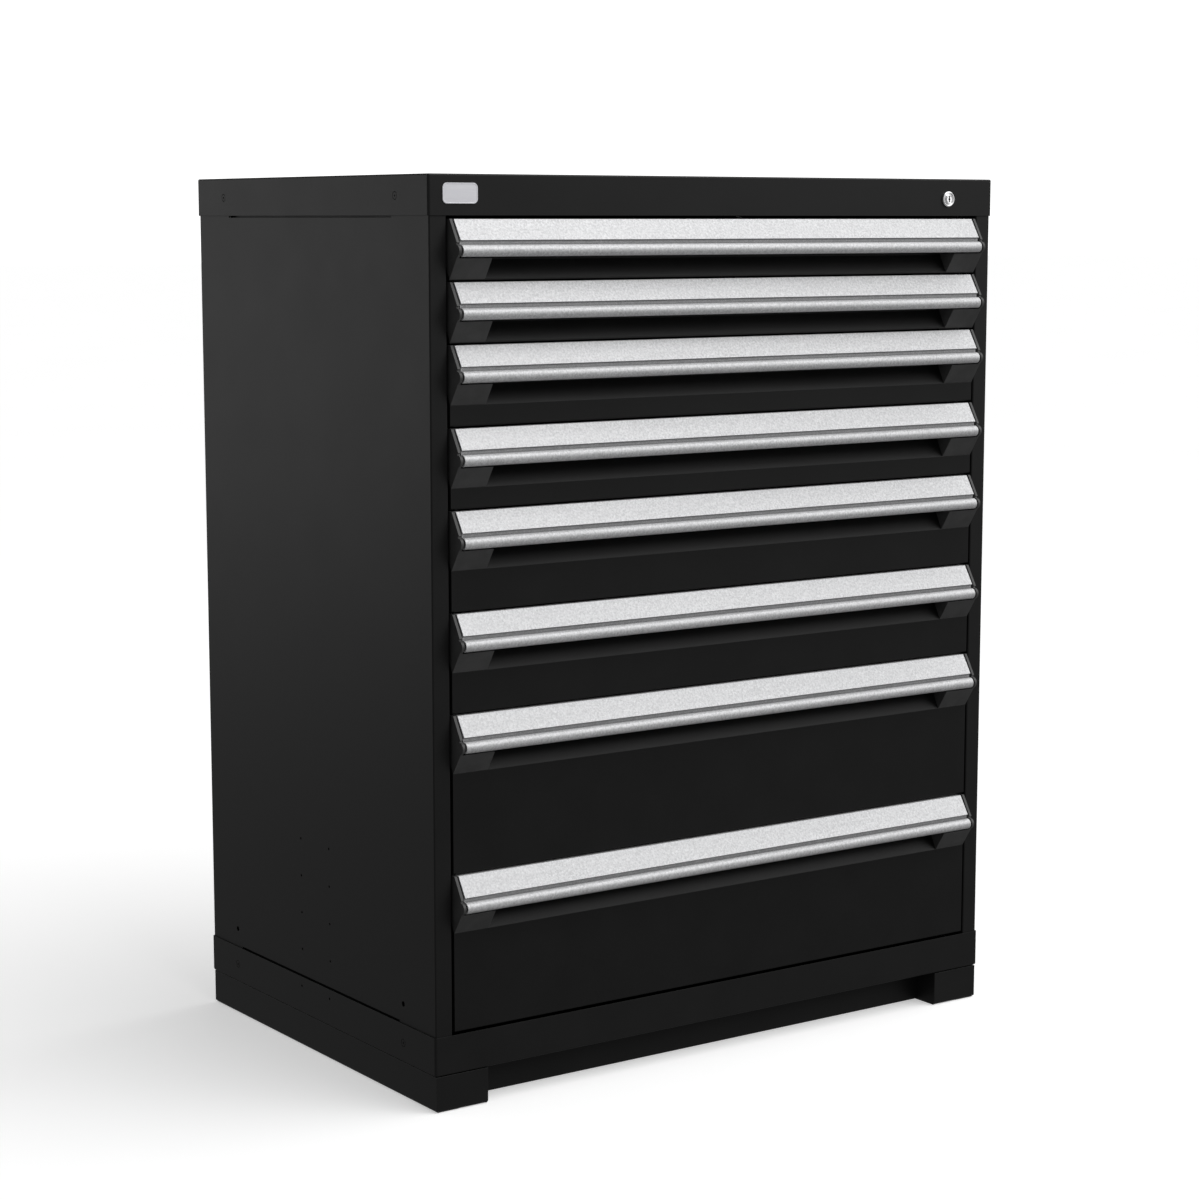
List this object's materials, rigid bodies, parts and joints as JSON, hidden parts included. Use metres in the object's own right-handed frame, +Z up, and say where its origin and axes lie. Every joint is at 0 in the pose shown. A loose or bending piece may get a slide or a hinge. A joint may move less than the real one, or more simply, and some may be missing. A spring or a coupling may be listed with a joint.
{
  "type": "tall chest of drawers",
  "caption": "Tall steel storage cabinet with full-width drawers on extension slides, sloped aluminium pull handles, a key lock and a recessed base.",
  "frame": {"origin": "on the floor, under the centre of the bounding box (the handles stand 22 mm in front of the covers)", "axes": "+Z up, -Y out of the drawer fronts, +X to the right seen from the front"},
  "size_m": [0.9144, 0.6316, 1.1684],
  "materials": {
    "black_powder_coat": "fine satin powder coat",
    "satin_aluminium": "satin, finely speckled",
    "black_plastic": "moulded, satin",
    "zinc_steel": "zinc plated",
    "chrome": "polished",
    "black_screws": "black oxide",
    "badge_plastic": "gloss, blank"
  },
  "bodies": {
    "cabinet": {"top_cover": "black_powder_coat", "bottom_cover": "black_powder_coat", "side_panel_right": "black_powder_coat", "side_panel_left": "black_powder_coat", "back_panel": "black_powder_coat", "panel_screws": "black_screws", "base_rail_right": "black_powder_coat", "base_rail_left": "black_powder_coat", "toe_panel_front": "black_powder_coat", "toe_panel_rear": "black_powder_coat", "front_upright_right": "black_powder_coat", "front_upright_left": "black_powder_coat", "rear_upright_right": "black_powder_coat", "rear_upright_left": "black_powder_coat", "drawer_rails_right": "zinc_steel", "drawer_rails_left": "zinc_steel", "lock_barrel": "chrome", "badge": "badge_plastic"},
    "lock_core": {"lock_core": "chrome"},
    "lock_bar": {"lock_bar": "zinc_steel"},
    "drawer_1": {"drawer_1_tray": "black_powder_coat", "drawer_1_handle": "satin_aluminium", "drawer_1_end_caps": "black_plastic", "drawer_1_runners": "zinc_steel"},
    "slide_1": {"slide_1_members": "zinc_steel"},
    "drawer_2": {"drawer_2_tray": "black_powder_coat", "drawer_2_handle": "satin_aluminium", "drawer_2_end_caps": "black_plastic", "drawer_2_runners": "zinc_steel"},
    "slide_2": {"slide_2_members": "zinc_steel"},
    "drawer_3": {"drawer_3_tray": "black_powder_coat", "drawer_3_handle": "satin_aluminium", "drawer_3_end_caps": "black_plastic", "drawer_3_runners": "zinc_steel"},
    "slide_3": {"slide_3_members": "zinc_steel"},
    "drawer_4": {"drawer_4_tray": "black_powder_coat", "drawer_4_handle": "satin_aluminium", "drawer_4_end_caps": "black_plastic", "drawer_4_runners": "zinc_steel"},
    "slide_4": {"slide_4_members": "zinc_steel"},
    "drawer_5": {"drawer_5_tray": "black_powder_coat", "drawer_5_handle": "satin_aluminium", "drawer_5_end_caps": "black_plastic", "drawer_5_runners": "zinc_steel"},
    "slide_5": {"slide_5_members": "zinc_steel"},
    "drawer_6": {"drawer_6_tray": "black_powder_coat", "drawer_6_handle": "satin_aluminium", "drawer_6_end_caps": "black_plastic", "drawer_6_runners": "zinc_steel"},
    "slide_6": {"slide_6_members": "zinc_steel"},
    "drawer_7": {"drawer_7_tray": "black_powder_coat", "drawer_7_handle": "satin_aluminium", "drawer_7_end_caps": "black_plastic", "drawer_7_runners": "zinc_steel"},
    "slide_7": {"slide_7_members": "zinc_steel"},
    "drawer_8": {"drawer_8_tray": "black_powder_coat", "drawer_8_handle": "satin_aluminium", "drawer_8_end_caps": "black_plastic", "drawer_8_runners": "zinc_steel"},
    "slide_8": {"slide_8_members": "zinc_steel"}
  },
  "joints": [
    {"name": "key_turn", "type": "hinge", "parent": "cabinet", "child": "lock_core", "pos_m": [0.3761, -0.29375, 1.1411], "axis": [0, 1, 0], "range_deg": [0, 90]},
    {"name": "lock_bar_lift", "type": "slide", "parent": "cabinet", "child": "lock_bar", "axis": [0, 0, 1], "range_m": [0, 0.01]},
    {"name": "drawer_1_slide", "type": "slide", "parent": "cabinet", "child": "drawer_1", "axis": [0, -1, 0], "range_m": [0, 0.53]},
    {"name": "slide_1_travel", "type": "slide", "parent": "cabinet", "child": "slide_1", "axis": [0, -1, 0], "range_m": [0, 0.265]},
    {"name": "drawer_2_slide", "type": "slide", "parent": "cabinet", "child": "drawer_2", "axis": [0, -1, 0], "range_m": [0, 0.53]},
    {"name": "slide_2_travel", "type": "slide", "parent": "cabinet", "child": "slide_2", "axis": [0, -1, 0], "range_m": [0, 0.265]},
    {"name": "drawer_3_slide", "type": "slide", "parent": "cabinet", "child": "drawer_3", "axis": [0, -1, 0], "range_m": [0, 0.53]},
    {"name": "slide_3_travel", "type": "slide", "parent": "cabinet", "child": "slide_3", "axis": [0, -1, 0], "range_m": [0, 0.265]},
    {"name": "drawer_4_slide", "type": "slide", "parent": "cabinet", "child": "drawer_4", "axis": [0, -1, 0], "range_m": [0, 0.53]},
    {"name": "slide_4_travel", "type": "slide", "parent": "cabinet", "child": "slide_4", "axis": [0, -1, 0], "range_m": [0, 0.265]},
    {"name": "drawer_5_slide", "type": "slide", "parent": "cabinet", "child": "drawer_5", "axis": [0, -1, 0], "range_m": [0, 0.53]},
    {"name": "slide_5_travel", "type": "slide", "parent": "cabinet", "child": "slide_5", "axis": [0, -1, 0], "range_m": [0, 0.265]},
    {"name": "drawer_6_slide", "type": "slide", "parent": "cabinet", "child": "drawer_6", "axis": [0, -1, 0], "range_m": [0, 0.53]},
    {"name": "slide_6_travel", "type": "slide", "parent": "cabinet", "child": "slide_6", "axis": [0, -1, 0], "range_m": [0, 0.265]},
    {"name": "drawer_7_slide", "type": "slide", "parent": "cabinet", "child": "drawer_7", "axis": [0, -1, 0], "range_m": [0, 0.53]},
    {"name": "slide_7_travel", "type": "slide", "parent": "cabinet", "child": "slide_7", "axis": [0, -1, 0], "range_m": [0, 0.265]},
    {"name": "drawer_8_slide", "type": "slide", "parent": "cabinet", "child": "drawer_8", "axis": [0, -1, 0], "range_m": [0, 0.53]},
    {"name": "slide_8_travel", "type": "slide", "parent": "cabinet", "child": "slide_8", "axis": [0, -1, 0], "range_m": [0, 0.265]}
  ],
  "couplings": [
    {"joint": "key_turn", "follows": "lock_bar_lift", "rad_per_m": 157.08},
    {"joint": "slide_1_travel", "follows": "drawer_1_slide", "ratio": 0.5},
    {"joint": "slide_2_travel", "follows": "drawer_2_slide", "ratio": 0.5},
    {"joint": "slide_3_travel", "follows": "drawer_3_slide", "ratio": 0.5},
    {"joint": "slide_4_travel", "follows": "drawer_4_slide", "ratio": 0.5},
    {"joint": "slide_5_travel", "follows": "drawer_5_slide", "ratio": 0.5},
    {"joint": "slide_6_travel", "follows": "drawer_6_slide", "ratio": 0.5},
    {"joint": "slide_7_travel", "follows": "drawer_7_slide", "ratio": 0.5},
    {"joint": "slide_8_travel", "follows": "drawer_8_slide", "ratio": 0.5}
  ]
}
